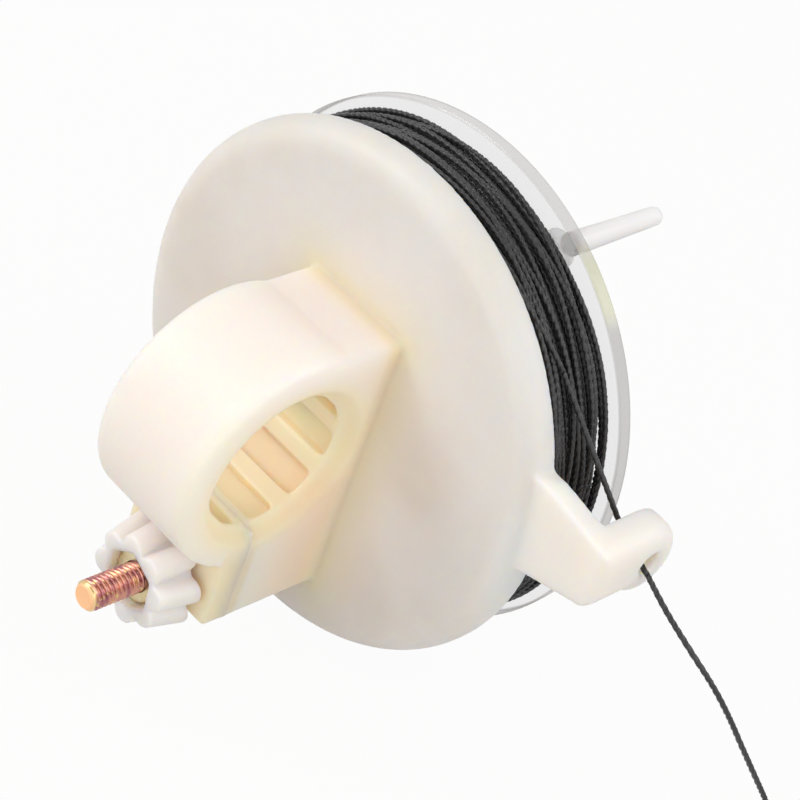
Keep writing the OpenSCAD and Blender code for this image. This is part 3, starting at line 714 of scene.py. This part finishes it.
def clear_plastic():
    """Clear acrylic: the face takes a little of the light, and the edge, seen end-on, much
    more. On the edge, light is painted: its top is painted lighter, and a patch of it has painted
    green light."""
    m = Material("clear_plastic")
    x, _, z = m.xyz()
    edge = m.above(m.radius(x, z), 0.0494, 0.0499)
    face = m.mix(m.above(m.noise(30, 2), 0.3, 0.7), rgb(150, 143, 150), rgb(160, 154, 158))
    # Painted light on the edge: a painted green patch of light, and the rim painted lighter
    # towards the top
    green = m.times(m.below(m.math("ABSOLUTE", m.math("SUBTRACT", z, 0.0400)), 0.002, 0.0055),
                    m.math("GREATER_THAN", x, 0.0))
    rim = m.mix(m.above(z, 0.036, 0.047), rgb(164, 159, 155), rgb(196, 190, 191))
    rim = m.mix(green, rim, rgb(190, 190, 136))
    m.set(m.shader, Base_Color=m.mix(edge, face, rim), IOR=1.49,
          Roughness=m.spread(m.noise(120, 3), 0.10, 0.18), Alpha=m.spread(edge, 0.10, 0.58))
    m.bump(m.noise(60, 2), 0.03, 0.0005)
    return m.mat


def red_fibre():
    m = Material("red_fibre")
    grain = m.noise(900, 5, 0.7)
    color = m.mix(m.above(grain, 0.3, 0.7), rgb(120, 66, 48), rgb(150, 92, 66))
    m.set(m.shader, Base_Color=color, Roughness=0.75)
    m.bump(grain, 0.4, 0.0002)
    return m.mat


def finish_piece(piece, material):
    """Gives a new piece its material."""
    piece.data.materials.clear()
    piece.data.materials.append(material)


def finish_nodes(material, *names):
    """Gives CAD nodes a better material."""
    for name in names:
        slots = nodes[name].data.materials
        for k in range(len(slots)):
            slots[k] = material


moulded = natural_nylon()
white_nylon = nylon("white_nylon", PALE, rgb(241, 239, 239), PALE_SCALE, PALE_SPREAD)[0].mat
nut_zinc = metal("yellow_zinc_nut", rgb(228, 216, 186), rgb(208, 192, 150), 0.30, 900, (1, 1, 1))
bright = metal("bright_steel", rgb(200, 201, 203), rgb(184, 186, 189), 0.26, 700, (1, 6, 1))
dark_line = waxed_line()
for piece in (plate, clamp_knob, drag_knob):
    finish_piece(piece, moulded)
finish_piece(clamp_bolt, bolt_zinc())
finish_piece(axle_bolt, bright)
for piece in (line_tail, knot, line_lead, wound):
    finish_piece(piece, dark_line)
finish_piece(core, packed_line())
finish_nodes(white_nylon, "thrust_washer", "spool_drum")
finish_nodes(peg_nylon(), "crank_peg")
finish_nodes(nut_zinc, "clamp_nut")
finish_nodes(bright, "clamp_washer", "axle_sleeve", "flange_screws", "drag_plate",
             "drag_spring", "drag_nut")
finish_nodes(clear_plastic(), "clear_flange")
finish_nodes(red_fibre(), "drag_washer")


# ---------------------------------------------------------------- floor and light
FLOOR, FLOOR_Z = 3000, -50.05
FLOOR_WHITE = 0.95   # share of the floor's white where a background ray meets it
STUDIO_LIGHT = 0.48
LAMP_SIZE = 0.5
# Square softboxes that look at the origin: name, place, power and colour
LAMPS = (("key", (-0.6, -0.45, 0.55), 3.6, (1, 0.99, 0.975)),
         ("front", (0.1, -0.85, 0.15), 1.3, (1, 1, 1)),
         ("fill", (0.55, -0.55, 0.45), 0.65, (1, 1, 1)),
         ("back", (0.5, 0.5, 0.6), 2.2, (1, 1, 1)),
         ("side", (0.75, -0.05, 0.35), 1.15, (1, 1, 1)))

floor_at = [(x * FLOOR, y * FLOOR, FLOOR_Z) for x, y in ((-1, -1), (1, -1), (1, 1), (-1, 1))]
floor = mesh_object("floor", floor_at, [(0, 1, 2, 3)], smooth=False)
m = Material("floor_white")
m.set(m.shader, Base_Color=m.mix(m.noise(3, 2), rgb(206, 204, 202), rgb(212, 210, 208)),
      Roughness=0.9)
glow = m.add("ShaderNodeEmission", Color=(1, 1, 1, 1), Strength=1.0)
cover = m.add("ShaderNodeMixShader", i0=m.times(m.background_rays(), FLOOR_WHITE),
              i1=m.shader.outputs[0], i2=glow.outputs[0])
m.set(m.tree.nodes["Material Output"], Surface=cover.outputs[0])
floor.data.materials.append(m.mat)

world = bpy.data.worlds.new("Studio")
bpy.context.scene.world = world
world.use_nodes = True
w = Tree(world.node_tree)
studio = w.tree.nodes["Background"]
w.set(studio, Color=(1.0, 0.99, 0.98, 1), Strength=STUDIO_LIGHT)
white = w.add("ShaderNodeBackground", Color=(1, 1, 1, 1), Strength=1.0)
shown = w.add("ShaderNodeMixShader", i0=w.background_rays(), i1=studio.outputs[0],
              i2=white.outputs[0])
w.set(w.tree.nodes["World Output"], Surface=shown.outputs[0])

for name, at, power, color in LAMPS:
    light = bpy.data.lights.new(name, "AREA")
    light.size, light.energy, light.color = LAMP_SIZE, power, color
    lamp = new_object(name, light)
    lamp.location = at
    lamp.rotation_mode = "QUATERNION"
    lamp.rotation_quaternion = (-Vector(at)).to_track_quat("-Z", "Y")

bpy.context.scene.view_settings.view_transform = "Standard"
